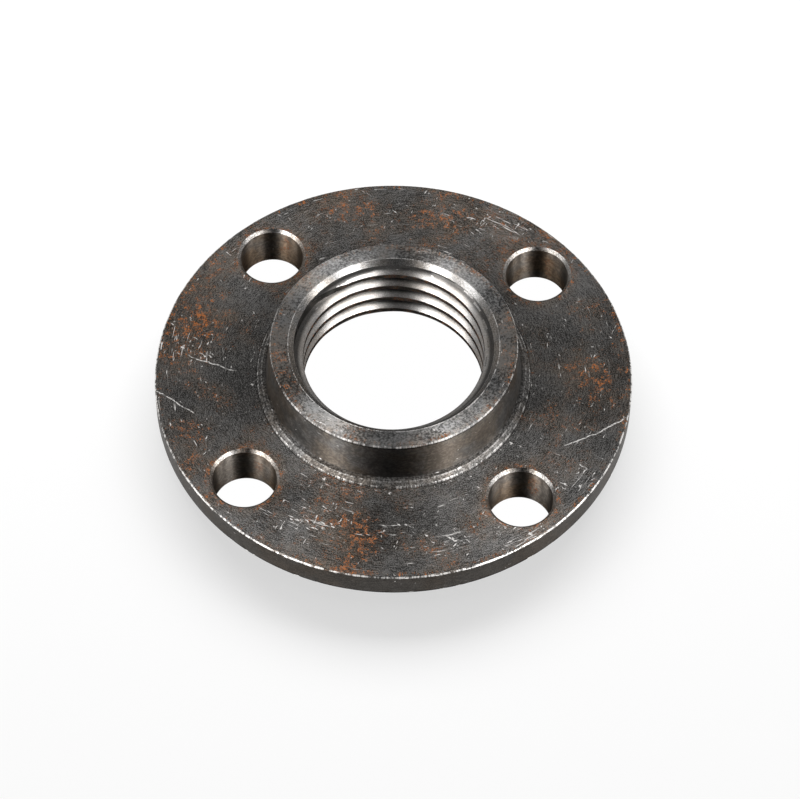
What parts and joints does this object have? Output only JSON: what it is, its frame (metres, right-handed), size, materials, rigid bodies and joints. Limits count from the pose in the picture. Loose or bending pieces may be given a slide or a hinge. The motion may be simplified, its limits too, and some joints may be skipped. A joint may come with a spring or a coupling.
{
  "type": "threaded floor flange",
  "caption": "Round steel floor flange: a flat plate with a short central hub, a bore right through for a threaded pipe, and plain bolt holes round the plate.",
  "frame": {"origin": "centre of the underside, on the axis of the bore", "axes": "+Z along the bore, from the underside towards the hub's top face; the bolt holes lie on the 45 degree lines between the X and Y axes"},
  "size_m": [0.15, 0.15, 0.0321],
  "materials": {
    "turned_steel": "bare turned steel, dark and satin, with fine lathe marks, freckles of rust and bright worn edges"
  },
  "bodies": {
    "root": {"threaded_flange": "turned_steel"}
  },
  "joints": []
}
